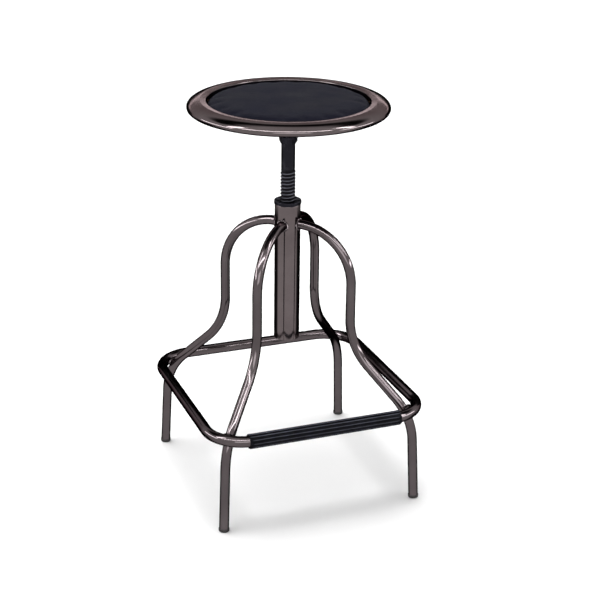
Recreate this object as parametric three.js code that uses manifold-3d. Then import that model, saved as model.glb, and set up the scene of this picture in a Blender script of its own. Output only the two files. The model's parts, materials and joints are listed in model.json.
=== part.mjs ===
// Adjustable swivel stool, in millimetres, +Z up.
// The origin is on the floor, on the post's axis. The front rail, with the tread, is on the -Y side.
// The seat rides on a screw: turning it counter-clockwise, seen from above, raises it by one pitch a turn.
import * as THREE from "three";
import { mergeVertices } from "three/addons/utils/BufferGeometryUtils.js";
import Module from "manifold-3d";

const wasm = await Module();
wasm.setup();

// Clearances
const faceGap = 0.3; // between pieces that rest on or stand against each other
const runningGap = 0.25; // between pieces that slide or turn on each other
const boltGap = 0.3; // round a bolt in its hole
const sleeveGap = 0.6; // round a tube in a sleeve
const threadTipGap = 0.12; // between the screw's crests and the bottom of the nut's groove

// Post
const postDiameter = 46.5;
const postWall = 3;
const postBottom = 274;
const postTop = 531;
const plugHeight = 12;
const plugWall = 2;

// Legs: a horizontal exit from the post, an arch, an upright, a flare, and a nearly upright foot
const legDiameter = 17.5;
const legWall = 1.5;
const legExitHeight = 495;
const archRadius = 100;
const uprightReach = 125.4; // from the post's axis to the upright's centre line
const uprightBottom = 330;
const flareRadius = 119;
const flareAngle = THREE.MathUtils.degToRad(46.6);
const footBendRadius = 114;
const footSplay = THREE.MathUtils.degToRad(3.3);
const footReach = 259.5; // from the post's axis to the foot's centre on the floor
const legNames = ["back_right", "back_left", "front_left", "front_right"];

// Glides
const glideDiameter = 19;
const glideSole = 5.5; // height of the head that shows below the tube
const glideStemLength = 14;
const glideRounding = 1.8;

// Foot ring and tread
const ringDiameter = 20;
const ringWall = 1.5;
const ringHeight = 176;
const ringCornerRadius = 66;
const ringVentDiameter = 4;
const treadLength = 282;
const treadWall = 1.6;
const treadRibHeight = 1.2;
const treadRibs = 12;

// Lift nut: a flanged nut in the top of the post
const flangeDiameter = 49;
const flangeHeight = 6.5;
const flangeRounding = 1.5;
const nutDepth = 34; // below the post's top

// Screw
const threadDiameter = 27;
const threadDepth = 1.6;
const threadPitch = 6.35;
const threadCrest = 2.2; // width of the crest
const threadFlank = 0.7; // axial run of a flank over its radial run
const threadClearance = 0.5; // added to each side of the nut's groove
const ridgeSink = 0.7; // how far a thread's ridge is sunk into the body that carries it
const threadShowing = 57.3; // above the lift nut, at rest
const turnsUp = 12; // from rest to the upper stop
const shankDiameter = 24.9;
const shankLength = 47.4;
const studDiameter = 19.4;
const studLength = 22; // above the mounting plate's hub
const journalDiameter = 16;
const bushHeight = 18;
const stopBoltDiameter = 10;
const stopBoltReach = 24;
const stopBoltHead = 6.4;
const stopWasherDiameter = 28;
const stopWasherThickness = 2;

// Collar and mounting plate
const collarFlats = 28.6;
const collarHeight = 14.8;
const collarTaper = 4.2;
const plateDiameter = 160;
const plateThickness = 3.5;
const hubDiameter = 58;
const dishDepth = 32.3;
const dishSlope = 0.62; // radial run of the dish over its height
const topNutFlats = 28;
const topNutHeight = 10;
const lockWasherThickness = 2.4;

// Seat pan
const seatDiameter = 355.6;
const sheet = 1.5;
const recessDiameter = 286.4;
const recessDepth = 25.1;
const recessFillet = 3;
const lipRadius = 1.8;
const crownRise = 0.9; // of the rim's crown above its lip
const crownInset = 25.3; // from the widest circle in to the crown
const crownDrop = 12.8; // from the crown down to the widest circle
const edgeRoll = 7;
const rollTurn = THREE.MathUtils.degToRad(125); // how far the edge is rolled under

// Pad
const padGap = 1.6; // between the cover and the recess
const coverThickness = 1.2;
const coverLift = 1.8; // from the pan's floor to the cover's lower edge
const padEdgeRadius = 5;
const padEdgeDrop = 0.8; // of the pad's edge below the lip
const padCrown = 4;
const boardThickness = 9;

// Seat bolts
const boltCircle = 122;
const boltDiameter = 6;
const boltHeadDiameter = 12;
const boltHeadHeight = 4;
const teeBarrel = 8.6;
const teeFlange = 18;
const teeFlangeThickness = 1.2;
const teeDepth = 7;
const boltCount = 4;

// Facets
const roundFacets = 36;
const smallFacets = 16;
const threadFacets = 12; // in each turn
const legFacets = 10;
const boreFacets = 6;
const boltFacets = 10;
const legSteps = 28;
const ringSteps = 84;

// Derived sizes
const postRadius = postDiameter / 2;
const boreRadius = postRadius - postWall;
const legRadius = legDiameter / 2;
const ringRadius = ringDiameter / 2;
const seatRadius = seatDiameter / 2;
const nutBottom = postTop - nutDepth;
const flangeTop = postTop + faceGap + flangeHeight;
const threadTop = flangeTop + threadShowing;
const collarBottom = threadTop + shankLength;
const hubBottom = collarBottom + collarHeight + faceGap;
const hubTop = hubBottom + plateThickness;
const plateTop = hubTop + dishDepth;
const plateBottom = plateTop - plateThickness;
const floorBottom = plateTop + faceGap;
const floorTop = floorBottom + sheet;
const lipHeight = floorTop + recessDepth;
const boardBottom = floorTop + faceGap;
const boardTop = boardBottom + boardThickness;
const teeFlangeLow = boardTop + faceGap;
const teeFlangeHigh = teeFlangeLow + teeFlangeThickness;
const bushTop = nutBottom - turnsUp * threadPitch - 1; // it meets the nut 1 mm past the top of the travel
const shoulder = bushTop + runningGap;
const journalEnd = bushTop - bushHeight - runningGap;
const threadRadius = threadDiameter / 2;
const coreRadius = threadRadius - threadDepth;
const recessRadius = recessDiameter / 2;
const padRadius = recessRadius - padGap;

// ---- Solids ----

function toSolid(geometry) {
  const plain = geometry.clone();
  plain.deleteAttribute("normal");
  plain.deleteAttribute("uv");
  const merged = mergeVertices(plain, 1e-4);
  const vertProperties = new Float32Array(merged.attributes.position.array);
  const triVerts = new Uint32Array(merged.index.array);
  return new wasm.Manifold(new wasm.Mesh({ numProp: 3, vertProperties, triVerts }));
}

function toGeometry(solid) {
  const mesh = solid.getMesh();
  const geometry = new THREE.BufferGeometry();
  geometry.setAttribute("position", new THREE.BufferAttribute(mesh.vertProperties, 3));
  geometry.setIndex(new THREE.BufferAttribute(mesh.triVerts, 1));
  geometry.computeVertexNormals();
  return geometry;
}

function cut(geometry, ...tools) {
  const solid = tools.reduce((left, tool) => left.subtract(toSolid(tool)), toSolid(geometry));
  return toGeometry(solid);
}

// Turns a profile of [radius, height] pairs about the Z axis. The profile runs counter-clockwise.
function turned(profile, facets = roundFacets) {
  const points = profile.map(([radius, height]) => new THREE.Vector2(radius, height));
  return new THREE.LatheGeometry(points, facets).rotateX(Math.PI / 2);
}

// A turned ring with a square section, from inner to outer radius and low to high.
function turnedRing(inner, outer, low, high, facets = roundFacets) {
  const corners = [[inner, low], [outer, low], [outer, high], [inner, high], [inner, low]];
  return turned(corners, facets);
}

function cylinder(radius, low, high, facets = smallFacets) {
  return turned([[0, low], [radius, low], [radius, high], [0, high]], facets);
}

function hexPrism(acrossFlats, low, high) {
  const radius = acrossFlats / Math.sqrt(3);
  return cylinder(radius, low, high, 6);
}

// Points on an arc in the (radius, height) plane, with both its ends.
function arc(centre, radiusX, radiusZ, from, to, steps) {
  const points = [];
  for (let i = 0; i <= steps; i += 1) {
    const angle = from + ((to - from) * i) / steps;
    points.push([centre[0] + radiusX * Math.cos(angle), centre[1] + radiusZ * Math.sin(angle)]);
  }
  return points;
}

// The line at a constant distance to the right of a line of points.
function offsetLine(line, distance) {
  const normal = (a, b) => new THREE.Vector2(b[1] - a[1], a[0] - b[0]).normalize();
  return line.map((point, i) => {
    const before = i > 0 ? normal(line[i - 1], point) : null;
    const after = i < line.length - 1 ? normal(point, line[i + 1]) : null;
    if (!before || !after) {
      const end = before || after;
      return [point[0] + end.x * distance, point[1] + end.y * distance];
    }
    const mid = before.clone().add(after).normalize();
    const reach = distance / mid.dot(before);
    return [point[0] + mid.x * reach, point[1] + mid.y * reach];
  });
}

// A closed profile of one thickness, from the line of its upper face.
function sheetProfile(line, thickness) {
  return [...offsetLine(line, thickness), ...line.slice().reverse()];
}

// ---- Tube runs ----

class Bend extends THREE.Curve {
  constructor(at) {
    super();
    this.at = at;
  }

  getPoint(t, target = new THREE.Vector3()) {
    return this.at(t, target);
  }
}

function straight(from, to) {
  return new THREE.LineCurve3(from, to);
}

// An arc in the leg's own plane. Its angle is measured from +X towards +Z.
function legArc(x, z, radius, from, to) {
  return new Bend((t, target) => {
    const angle = from + (to - from) * t;
    return target.set(x + radius * Math.cos(angle), 0, z + radius * Math.sin(angle));
  });
}

// The leg's centre line in the XZ plane, from inside the post down to the glide's sole.
function legPath() {
  const quarter = Math.PI / 2;
  const archX = uprightReach - archRadius;
  const archZ = legExitHeight - archRadius;
  const flareX = uprightReach + flareRadius;
  const flareEndX = flareX - flareRadius * Math.cos(flareAngle);
  const flareEndZ = uprightBottom - flareRadius * Math.sin(flareAngle);
  // The foot bend turns the flare back to the foot's splay. The straight between them takes up what is left.
  const bendX = footBendRadius * (Math.cos(footSplay) - Math.cos(flareAngle));
  const bendZ = footBendRadius * (Math.sin(flareAngle) - Math.sin(footSplay));
  const spread = footReach - flareEndX - bendX - (flareEndZ - bendZ) * Math.tan(footSplay);
  const slant = spread / (Math.sin(flareAngle) - Math.cos(flareAngle) * Math.tan(footSplay));
  const slantEndX = flareEndX + slant * Math.sin(flareAngle);
  const slantEndZ = flareEndZ - slant * Math.cos(flareAngle);
  const bendCentreX = slantEndX - footBendRadius * Math.cos(flareAngle);
  const bendCentreZ = slantEndZ - footBendRadius * Math.sin(flareAngle);
  const footTopX = bendCentreX + footBendRadius * Math.cos(footSplay);
  const footTopZ = bendCentreZ + footBendRadius * Math.sin(footSplay);
  const soleX = footReach - (glideSole + faceGap) * Math.sin(footSplay);
  const soleZ = (glideSole + faceGap) * Math.cos(footSplay);
  const point = (x, z) => new THREE.Vector3(x, 0, z);
  const path = new THREE.CurvePath();
  path.add(straight(point(postRadius / 2, legExitHeight), point(archX, legExitHeight)));
  path.add(legArc(archX, archZ, archRadius, quarter, 0));
  path.add(straight(point(uprightReach, archZ), point(uprightReach, uprightBottom)));
  path.add(legArc(flareX, uprightBottom, flareRadius, Math.PI, Math.PI + flareAngle));
  path.add(straight(point(flareEndX, flareEndZ), point(slantEndX, slantEndZ)));
  path.add(legArc(bendCentreX, bendCentreZ, footBendRadius, flareAngle, footSplay));
  path.add(straight(point(footTopX, footTopZ), point(soleX, soleZ)));
  return path;
}

function roundShape(radius, facets) {
  return new THREE.Shape().absarc(0, 0, radius, 0, Math.PI * 2, false).getSpacedPoints(facets).slice(0, -1);
}

// A tube of round section along a path, open at both ends.
function openTube(path, radius, wall, steps) {
  const shape = new THREE.Shape(roundShape(radius, legFacets));
  shape.holes.push(new THREE.Path(roundShape(radius - wall, boreFacets)));
  return new THREE.ExtrudeGeometry(shape, { steps, extrudePath: path, bevelEnabled: false });
}

// How far out the ring's corner must stand, from the axis, to clear the leg by the face gap.
function cornerReach() {
  const path = legPath();
  const apart = legRadius + ringRadius + faceGap;
  const samples = 600;
  let reach = 0;
  for (let i = 0; i <= samples; i += 1) {
    const point = path.getPoint(i / samples);
    const rise = point.z - ringHeight;
    if (Math.abs(rise) < apart) reach = Math.max(reach, point.x + Math.sqrt(apart ** 2 - rise ** 2));
  }
  return reach;
}

const cornerSlack = ringCornerRadius * (Math.SQRT2 - 1);
const ringHalf = (cornerReach() + cornerSlack) / Math.SQRT2; // from the axis to a rail's centre line
const railHalf = ringHalf - ringCornerRadius; // half of a rail's straight part

// The ring's centre line: four rails and four round corners, counter-clockwise from the middle of the back rail.
function ringPath() {
  const path = new THREE.CurvePath();
  const up = new THREE.Vector3(0, 0, 1);
  for (let side = 0; side < 4; side += 1) {
    const turn = (side * Math.PI) / 2;
    const place = (x, y, target = new THREE.Vector3()) => target.set(x, y, ringHeight).applyAxisAngle(up, turn);
    path.add(straight(place(0, ringHalf), place(-railHalf, ringHalf)));
    path.add(
      new Bend((t, target) => {
        const angle = (Math.PI / 2) * (1 + t);
        const x = -railHalf + ringCornerRadius * Math.cos(angle);
        return place(x, railHalf + ringCornerRadius * Math.sin(angle), target);
      }),
    );
    path.add(straight(place(-ringHalf, railHalf), place(-ringHalf, 0)));
  }
  return path;
}

// ---- Base ----

function postTube() {
  return turnedRing(boreRadius, postRadius, postBottom, postTop);
}

// A cup pressed into the foot of the post, with its mouth down.
function postPlug() {
  const radius = boreRadius - runningGap;
  const top = postBottom + plugHeight;
  const inner = radius - plugWall;
  return turned([
    [0, top - plugWall],
    [inner, top - plugWall],
    [inner, postBottom + faceGap],
    [radius, postBottom + faceGap],
    [radius, top],
    [0, top],
  ]);
}

function legTube() {
  const clearOfPost = cylinder(postRadius + faceGap, 0, postTop, roundFacets);
  return cut(openTube(legPath(), legRadius, legWall, legSteps), clearOfPost);
}

// A plug in the end of the leg, tilted with it: a round head cut flat on the floor, and a stem in the tube's bore.
function glide() {
  const outer = glideDiameter / 2;
  const stem = (legRadius - legWall) * Math.cos(Math.PI / boreFacets) - faceGap;
  const stemTop = glideSole + glideStemLength;
  const profile = [
    [0, -glideRounding],
    [outer - glideRounding, -glideRounding],
    [outer - glideRounding, 0],
    [outer, glideRounding],
    [outer, glideSole],
    [stem, glideSole],
    [stem, stemTop - 1],
    [stem - 1, stemTop],
    [0, stemTop],
  ];
  const plug = turned(profile, smallFacets).rotateY(-footSplay).translate(footReach, 0, 0);
  const belowFloor = new THREE.BoxGeometry(glideDiameter * 2, glideDiameter * 2, glideDiameter);
  belowFloor.translate(footReach, 0, -glideDiameter / 2);
  return cut(plug, belowFloor);
}

function footRing() {
  const path = ringPath();
  const outside = new THREE.TubeGeometry(path, ringSteps, ringRadius, legFacets, true);
  const inside = new THREE.TubeGeometry(path, ringSteps, ringRadius - ringWall, boreFacets, true);
  const vent = cylinder(ringVentDiameter / 2, ringHeight - ringDiameter, ringHeight, 8);
  vent.translate(0, ringHalf, 0);
  return cut(outside, inside, vent);
}

// The ribbed section of the tread: a valley point and two crest points for each rib.
function treadShape() {
  const inner = ringRadius + sleeveGap;
  const low = inner + treadWall;
  const high = low + treadRibHeight;
  const points = [];
  const step = (Math.PI * 2) / treadRibs;
  for (let rib = 0; rib < treadRibs; rib += 1) {
    for (const [share, radius] of [[0, low], [0.3, high], [0.7, high]]) {
      const angle = (rib + share) * step;
      points.push(new THREE.Vector2(radius * Math.cos(angle), radius * Math.sin(angle)));
    }
  }
  const shape = new THREE.Shape(points);
  shape.holes.push(new THREE.Path(roundShape(inner, smallFacets)));
  return shape;
}

// A sleeve on the front rail. It bends with the ring at its ends, so its length is a whole number of ring steps.
function footTread() {
  const path = ringPath();
  const ringStep = path.getLength() / ringSteps;
  const halfSteps = Math.round(treadLength / 2 / ringStep);
  const share = halfSteps / ringSteps;
  const frontMiddle = 0.5;
  const front = new Bend((t, target) => path.getPointAt(frontMiddle + share * (2 * t - 1), target));
  const settings = { steps: halfSteps * 2, extrudePath: front, bevelEnabled: false };
  return new THREE.ExtrudeGeometry(treadShape(), settings);
}

// ---- Thread ----

// One right-hand ridge from low to high. It stands on radius root and reaches radius crest.
// With fade it rises out of the core at both ends.
function threadRidge(root, crest, extraWidth, low, high, fade) {
  const steps = Math.round(((high - low) / threadPitch) * threadFacets);
  const halfWidth = (radius) => threadCrest / 2 + (threadRadius - radius) * threadFlank + extraWidth;
  const fadeSteps = threadFacets * 0.75;
  const positions = [];
  for (let i = 0; i <= steps; i += 1) {
    const share = fade ? Math.min(1, (Math.min(i, steps - i) + 0.5) / fadeSteps) : 1;
    const reach = root + (crest - root) * share;
    const turns = i / threadFacets;
    const height = low + turns * threadPitch;
    const angle = ((low / threadPitch) % 1) * Math.PI * 2 + turns * Math.PI * 2;
    const section = [
      [root, -halfWidth(root) * share],
      [reach, -halfWidth(crest) * share],
      [reach, halfWidth(crest) * share],
      [root, halfWidth(root) * share],
    ];
    for (const [radius, rise] of section) {
      positions.push(radius * Math.cos(angle), radius * Math.sin(angle), height + rise);
    }
  }
  const corners = 4;
  const index = [];
  for (let i = 0; i < steps; i += 1) {
    for (let k = 0; k < corners; k += 1) {
      const a = i * corners + k;
      const b = i * corners + ((k + 1) % corners);
      index.push(a, a + corners, b, b, a + corners, b + corners);
    }
  }
  const last = steps * corners;
  index.push(0, 1, 2, 0, 2, 3, last, last + 2, last + 1, last, last + 3, last + 2);
  const geometry = new THREE.BufferGeometry();
  geometry.setAttribute("position", new THREE.Float32BufferAttribute(positions, 3));
  geometry.setIndex(index);
  return geometry;
}

// A height at which a ridge of the common helix starts at angle 0.
function helixStart(height) {
  return Math.ceil(height / threadPitch) * threadPitch;
}

function liftNut() {
  const outer = boreRadius - runningGap;
  const flange = flangeDiameter / 2;
  const seatOnPost = postTop + faceGap;
  const facetSlack = Math.cos(Math.PI / threadFacets);
  const bore = (coreRadius + runningGap) / facetSlack;
  const groove = (threadRadius + threadTipGap) / facetSlack;
  const blank = turned([
    [0, nutBottom],
    [outer, nutBottom],
    [outer, seatOnPost],
    [flange, seatOnPost],
    [flange, flangeTop - flangeRounding],
    [flange - flangeRounding, flangeTop],
    [0, flangeTop],
  ]);
  const start = helixStart(nutBottom - 3 * threadPitch);
  const end = helixStart(flangeTop + 2 * threadPitch);
  const hole = cylinder(bore, nutBottom - threadPitch, flangeTop + threadPitch, threadFacets);
  const internal = threadRidge(bore - ridgeSink, groove, threadClearance, start, end, false);
  return cut(blank, hole, internal);
}

// ---- Guide ----

function guideBush() {
  const inner = journalDiameter / 2 + runningGap;
  return turnedRing(inner, boreRadius - runningGap, bushTop - bushHeight, bushTop);
}

// ---- Screw and what turns with it ----

function liftScrew() {
  const journal = journalDiameter / 2;
  const shank = shankDiameter / 2;
  const stud = studDiameter / 2;
  const hole = stopBoltDiameter / 2 + boltGap;
  const shankTop = hubBottom - faceGap;
  const blank = turned(
    [
      [0, journalEnd + stopBoltReach],
      [hole, journalEnd + stopBoltReach],
      [hole, journalEnd],
      [journal, journalEnd],
      [journal, shoulder],
      [coreRadius, shoulder],
      [coreRadius, threadTop],
      [shank, threadTop + 1],
      [shank, shankTop],
      [stud, shankTop],
      [stud, hubTop + studLength - 1],
      [stud - 1, hubTop + studLength],
      [0, hubTop + studLength],
    ],
    threadFacets,
  );
  const start = helixStart(shoulder + threadPitch / 2);
  const end = start + Math.floor((threadTop - start) / threadPitch) * threadPitch;
  const ridge = threadRidge(coreRadius - ridgeSink, threadRadius, 0, start, end, true);
  return toGeometry(toSolid(blank).add(toSolid(ridge)));
}

function stopWasher() {
  const top = journalEnd - faceGap;
  const hole = stopBoltDiameter / 2 + boltGap;
  return turnedRing(hole, stopWasherDiameter / 2, top - stopWasherThickness, top, smallFacets);
}

function stopBolt() {
  const headTop = journalEnd - faceGap * 2 - stopWasherThickness;
  const head = hexPrism(stopBoltDiameter * 1.6, headTop - stopBoltHead, headTop);
  const shaft = cylinder(stopBoltDiameter / 2, headTop - 1, journalEnd + stopBoltReach - 1);
  return toGeometry(toSolid(head).add(toSolid(shaft)));
}

// A hex collar on the shank, tapered to the shank at its lower end.
function hexCollar() {
  const top = collarBottom + collarHeight;
  const corner = collarFlats / Math.sqrt(3);
  const cone = turned([
    [0, collarBottom],
    [shankDiameter / 2 + 1, collarBottom],
    [corner, collarBottom + collarTaper],
    [corner, top - 1.5],
    [corner - 1.8, top],
    [0, top],
  ]);
  const hole = cylinder(shankDiameter / 2 + runningGap, collarBottom - 1, top + 1, roundFacets);
  const hex = toSolid(hexPrism(collarFlats, collarBottom, top)).intersect(toSolid(cone));
  return toGeometry(hex.subtract(toSolid(hole)));
}

// Runs a maker of one piece at each of the seat bolts' places.
function atSeatBolts(make) {
  const pieces = [];
  for (let i = 0; i < boltCount; i += 1) {
    const angle = ((i + 0.5) * Math.PI * 2) / boltCount;
    const reach = boltCircle / 2;
    pieces.push(make().translate(reach * Math.cos(angle), reach * Math.sin(angle), 0));
  }
  return pieces;
}

function seatBoltHoles(diameter, low, high) {
  return atSeatBolts(() => cylinder(diameter / 2, low, high, boltFacets));
}

// A round stamped plate whose middle is dished down to a hub.
function mountPlate() {
  const hole = studDiameter / 2 + boltGap;
  const hub = hubDiameter / 2;
  const dish = hub + dishDepth * dishSlope;
  const outer = plateDiameter / 2;
  const line = [[hole, hubTop], [hub, hubTop], [dish, plateTop], [outer, plateTop]];
  const blank = turned(closed(sheetProfile(line, plateThickness)));
  return cut(blank, ...seatBoltHoles(boltDiameter + boltGap * 2, plateBottom - 1, plateTop + 1));
}

function closed(profile) {
  return [...profile, profile[0]];
}

function lockWasher() {
  const low = hubTop + faceGap;
  const inner = studDiameter / 2 + boltGap;
  return turnedRing(inner, topNutFlats / 2 + 0.5, low, low + lockWasherThickness, smallFacets);
}

function topNut() {
  const low = hubTop + faceGap * 2 + lockWasherThickness;
  const high = low + topNutHeight;
  const hole = cylinder(studDiameter / 2 + runningGap, low - 1, high + 1);
  return cut(hexPrism(topNutFlats, low, high), hole);
}

// ---- Seat ----

// The upper face of the pan: floor, recess wall, lip, crown, outer edge and rolled hem.
function panLine() {
  const quarter = Math.PI / 2;
  const lipCentre = recessRadius + lipRadius;
  const crownHeight = lipHeight + crownRise;
  const crownX = seatRadius - crownInset;
  const widest = crownHeight - crownDrop;
  const rollCentre = seatRadius - edgeRoll;
  const filletCentre = [recessRadius - recessFillet, floorTop + recessFillet];
  return [
    [0, floorTop],
    ...arc(filletCentre, recessFillet, recessFillet, -quarter, 0, 1),
    ...arc([lipCentre, lipHeight - lipRadius], lipRadius, lipRadius, Math.PI, quarter, 2),
    ...arc([crownX, widest], crownInset, crownDrop, quarter, 0, 6),
    ...arc([rollCentre, widest], edgeRoll, edgeRoll, 0, -rollTurn, 4).slice(1),
  ];
}

function seatPan() {
  const blank = turned(sheetProfile(panLine(), sheet));
  return cut(blank, ...seatBoltHoles(boltDiameter + boltGap * 2, floorBottom - 1, floorTop + 1));
}

function seatBoard() {
  const radius = padRadius - coverThickness - faceGap;
  const blank = cylinder(radius, boardBottom, boardTop, roundFacets);
  return cut(blank, ...seatBoltHoles(teeBarrel + boltGap * 2, boardBottom - 1, boardTop + 1));
}

// The pad's upper face and side, drawn in from the cover's own by inset.
function padLine(inset, low) {
  const radius = padRadius - inset;
  const edge = Math.max(padEdgeRadius - inset, 0.5);
  const edgeHeight = lipHeight - padEdgeDrop - inset;
  const side = arc([radius - edge, edgeHeight - edge], edge, edge, 0, Math.PI / 2, 3);
  const crown = [0.66, 0.33].map((share) => {
    return [(radius - edge) * share, edgeHeight + padCrown * (1 - share ** 2)];
  });
  return [[radius, low], ...side, ...crown, [0, edgeHeight + padCrown]];
}

function padCover() {
  const low = floorTop + coverLift;
  const outer = padLine(0, low);
  const inner = padLine(coverThickness, low);
  return turned([...inner.reverse(), ...outer]);
}

function padFoam() {
  const low = teeFlangeHigh + faceGap;
  return turned([[0, low], ...padLine(coverThickness + faceGap, low)]);
}

function seatBolt() {
  const shaft = boltDiameter / 2;
  const head = boltHeadDiameter / 2;
  const headTop = plateBottom - faceGap;
  const headLow = headTop - boltHeadHeight;
  return turned(
    [
      [0, headLow],
      [head - 1.5, headLow],
      [head, headLow + 1.5],
      [head, headTop],
      [shaft, headTop],
      [shaft, boardTop],
      [0, boardTop],
    ],
    boltFacets,
  );
}

function teeNut() {
  const inner = boltDiameter / 2 + boltGap;
  const low = boardTop - teeDepth;
  return turned(
    closed([
      [inner, low],
      [teeBarrel / 2, low],
      [teeBarrel / 2, teeFlangeLow],
      [teeFlange / 2, teeFlangeLow],
      [teeFlange / 2, teeFlangeHigh],
      [inner, teeFlangeHigh],
    ]),
    boltFacets,
  );
}

// ---- Materials and assembly ----

function material(color, roughness, metalness) {
  return new THREE.MeshStandardMaterial({ color, roughness, metalness });
}

const gunmetal = { color: 0x6b605e, roughness: 0.28, metalness: 0.9 };
const blackSteel = { color: 0x17171a, roughness: 0.42, metalness: 0.7 };
const zincSteel = { color: 0xa9adb0, roughness: 0.4, metalness: 0.9 };
const blackPlastic = { color: 0x101012, roughness: 0.5, metalness: 0 };
const whiteNylon = { color: 0xdedcd2, roughness: 0.5, metalness: 0 };
const plywood = { color: 0xb98f5e, roughness: 0.8, metalness: 0 };
const foam = { color: 0xd9cfa8, roughness: 0.95, metalness: 0 };
const leather = { color: 0x2b2b33, roughness: 0.6, metalness: 0 };

function piece(name, geometry, finish) {
  const mesh = new THREE.Mesh(geometry, material(finish.color, finish.roughness, finish.metalness));
  mesh.name = name;
  return mesh;
}

function makeBase() {
  const base = new THREE.Group();
  base.add(piece("post_tube", postTube(), gunmetal));
  base.add(piece("post_plug", postPlug(), blackPlastic));
  base.add(piece("lift_nut", liftNut(), blackSteel));
  legNames.forEach((place, i) => {
    const corner = new THREE.Group();
    corner.rotation.z = Math.PI / 4 + (i * Math.PI) / 2;
    corner.add(piece("leg_" + place, legTube(), gunmetal));
    corner.add(piece("glide_" + place, glide(), blackPlastic));
    base.add(corner);
  });
  base.add(piece("foot_ring", footRing(), gunmetal));
  base.add(piece("foot_tread", footTread(), blackPlastic));
  return base;
}

function makeGuide() {
  const guide = new THREE.Group();
  guide.add(piece("guide_bush", guideBush(), whiteNylon));
  return guide;
}

function makeSeat() {
  const seat = new THREE.Group();
  seat.add(piece("lift_screw", liftScrew(), blackSteel));
  seat.add(piece("stop_washer", stopWasher(), zincSteel));
  seat.add(piece("stop_bolt", stopBolt(), zincSteel));
  seat.add(piece("hex_collar", hexCollar(), blackSteel));
  seat.add(piece("mount_plate", mountPlate(), blackSteel));
  seat.add(piece("lock_washer", lockWasher(), zincSteel));
  seat.add(piece("top_nut", topNut(), zincSteel));
  seat.add(piece("seat_pan", seatPan(), gunmetal));
  seat.add(piece("seat_board", seatBoard(), plywood));
  seat.add(piece("pad_foam", padFoam(), foam));
  seat.add(piece("pad_cover", padCover(), leather));
  atSeatBolts(seatBolt).forEach((bolt, i) => seat.add(piece("seat_bolt_" + (i + 1), bolt, zincSteel)));
  atSeatBolts(teeNut).forEach((nut, i) => seat.add(piece("tee_nut_" + (i + 1), nut, zincSteel)));
  return seat;
}

const stool = new THREE.Group();
stool.add(makeBase(), makeGuide(), makeSeat());

export default stool;
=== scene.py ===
import json
import math
import bmesh
import bpy
import numpy as np
from mathutils import Matrix, Vector, noise


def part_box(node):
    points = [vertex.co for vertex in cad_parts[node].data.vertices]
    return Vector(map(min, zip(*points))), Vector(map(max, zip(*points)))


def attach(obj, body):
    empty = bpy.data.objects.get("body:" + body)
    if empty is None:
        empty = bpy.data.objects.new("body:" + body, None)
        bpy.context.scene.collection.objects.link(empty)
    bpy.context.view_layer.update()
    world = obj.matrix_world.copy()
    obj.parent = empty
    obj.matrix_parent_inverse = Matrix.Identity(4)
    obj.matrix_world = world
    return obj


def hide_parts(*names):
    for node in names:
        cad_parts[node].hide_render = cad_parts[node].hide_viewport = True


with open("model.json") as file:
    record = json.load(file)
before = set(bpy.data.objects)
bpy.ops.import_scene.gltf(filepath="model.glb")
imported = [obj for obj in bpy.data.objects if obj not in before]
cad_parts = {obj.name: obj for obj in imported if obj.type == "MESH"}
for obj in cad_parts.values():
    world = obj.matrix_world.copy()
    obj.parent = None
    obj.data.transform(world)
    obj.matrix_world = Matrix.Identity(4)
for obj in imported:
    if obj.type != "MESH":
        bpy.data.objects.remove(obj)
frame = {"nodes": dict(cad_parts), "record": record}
scene = bpy.context.scene
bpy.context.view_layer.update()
# degrees round the post
corners = {"back_right": 45, "back_left": 135, "front_left": 225, "front_right": 315}
seed = 7
print("frame loaded:", len(frame["nodes"]), "nodes")


# Meshes from rings of points. A ring with one point is a pole on the axis.
def ringMesh(name, rings, loop=False):
    points, faces, places = [], [], []
    for ring in rings:
        places.append(range(len(points), len(points) + len(ring)))
        points.extend(ring)
    pairs = list(zip(places, places[1:]))
    if loop:
        pairs.append((places[-1], places[0]))
    for low, high in pairs:
        count = max(len(low), len(high))
        for k in range(count):
            n = (k + 1) % count
            if len(low) == 1:
                faces.append((low[0], high[n], high[k]))
            elif len(high) == 1:
                faces.append((low[k], low[n], high[0]))
            else:
                faces.append((low[k], low[n], high[n], high[k]))
    mesh = bpy.data.meshes.new(name)
    mesh.from_pydata([tuple(p) for p in points], [], faces)
    mesh.validate()
    return mesh


def circleRing(radius, height, segments):
    if radius < 1e-7:
        return [(0.0, 0.0, height)]
    turn = 2 * math.pi / segments
    return [(radius * math.cos(k * turn), radius * math.sin(k * turn), height) for k in range(segments)]


# A profile of (radius, height) pairs, counter-clockwise with the axis on its left, turned about Z.
def turned(name, profile, segments=144, loop=False):
    return ringMesh(name, [circleRing(r, z, segments) for r, z in profile], loop)


def arcPoints(centre, radiusX, radiusZ, start, end, steps):
    turns = [math.radians(start + (end - start) * i / steps) for i in range(steps + 1)]
    return [(centre[0] + radiusX * math.cos(a), centre[1] + radiusZ * math.sin(a)) for a in turns]


# The line at a distance to the right of a line of points.
def offsetLine(line, distance):
    points = np.array(line)
    ahead = np.gradient(points, axis=0)
    normals = np.stack([ahead[:, 1], -ahead[:, 0]], axis=1)
    normals /= np.linalg.norm(normals, axis=1)[:, None]
    return [tuple(p) for p in points + normals * distance]


def closedSheet(line, thickness):
    return offsetLine(line, thickness) + list(reversed(line))


def makeObject(name, mesh):
    made = bpy.data.objects.new(name, mesh)
    scene.collection.objects.link(made)
    return made


# Turns an object with live modifiers into a plain mesh object of the same name.
def settled(source):
    bpy.context.view_layer.update()
    evaluated = source.evaluated_get(bpy.context.evaluated_depsgraph_get())
    mesh = bpy.data.meshes.new_from_object(evaluated)
    name = source.name
    bpy.data.objects.remove(source)
    mesh.name = name
    return makeObject(name, mesh)


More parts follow.
